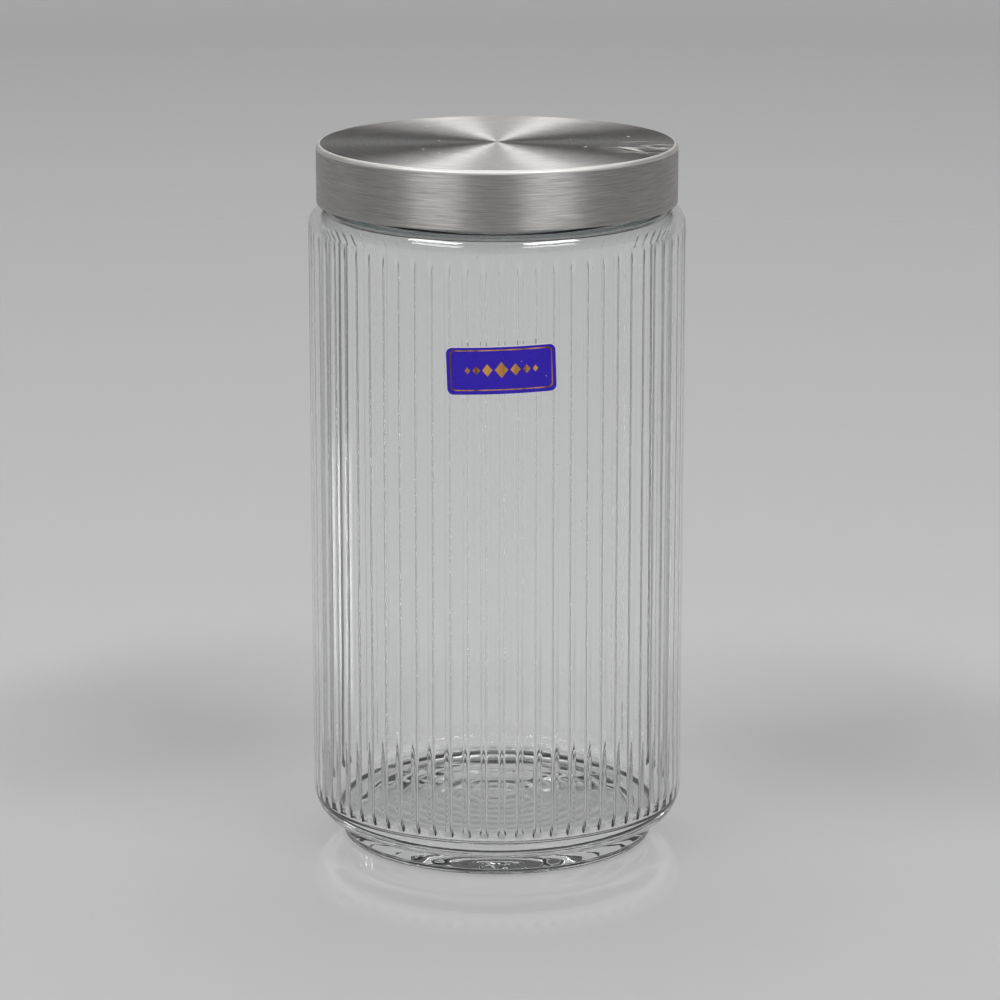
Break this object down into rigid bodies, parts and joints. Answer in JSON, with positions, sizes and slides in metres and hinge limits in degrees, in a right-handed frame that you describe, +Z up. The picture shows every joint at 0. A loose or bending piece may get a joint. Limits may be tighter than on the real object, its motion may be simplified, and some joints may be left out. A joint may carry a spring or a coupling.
{
  "type": "lidded glass canister",
  "caption": "Tall round glass jar with fine upright ribs inside, a rounded shoulder and a foot ring, closed by a flat brushed steel screw lid with a sealing ring.",
  "frame": {"origin": "on the jar's axis, in the plane that the foot ring stands on", "axes": "+Z up along the jar's axis, -Y out through the label"},
  "size_m": [0.1, 0.1003, 0.189],
  "materials": {
    "clear_glass": "clear, smooth outside, upright ribs inside",
    "brushed_steel": "spun grain on the top, grain round the skirt",
    "insert_plastic": "moulded polypropylene",
    "silicone": "soft satin silicone",
    "label_film": "glossy film sticker"
  },
  "bodies": {
    "jar": {"glass_jar": "clear_glass", "label": "label_film"},
    "seal": {"sealing_ring": "silicone"},
    "lid": {"lid_shell": "brushed_steel", "screw_insert": "insert_plastic"}
  },
  "joints": [
    {"name": "lid_lift", "type": "slide", "parent": "jar", "child": "seal", "axis": [0, 0, 1], "range_m": [0, 0.05]},
    {"name": "lid_turn", "type": "hinge", "parent": "seal", "child": "lid", "pos_m": [0, 0, 0.1873], "axis": [0, 0, 1], "range_deg": [0, 360]}
  ]
}
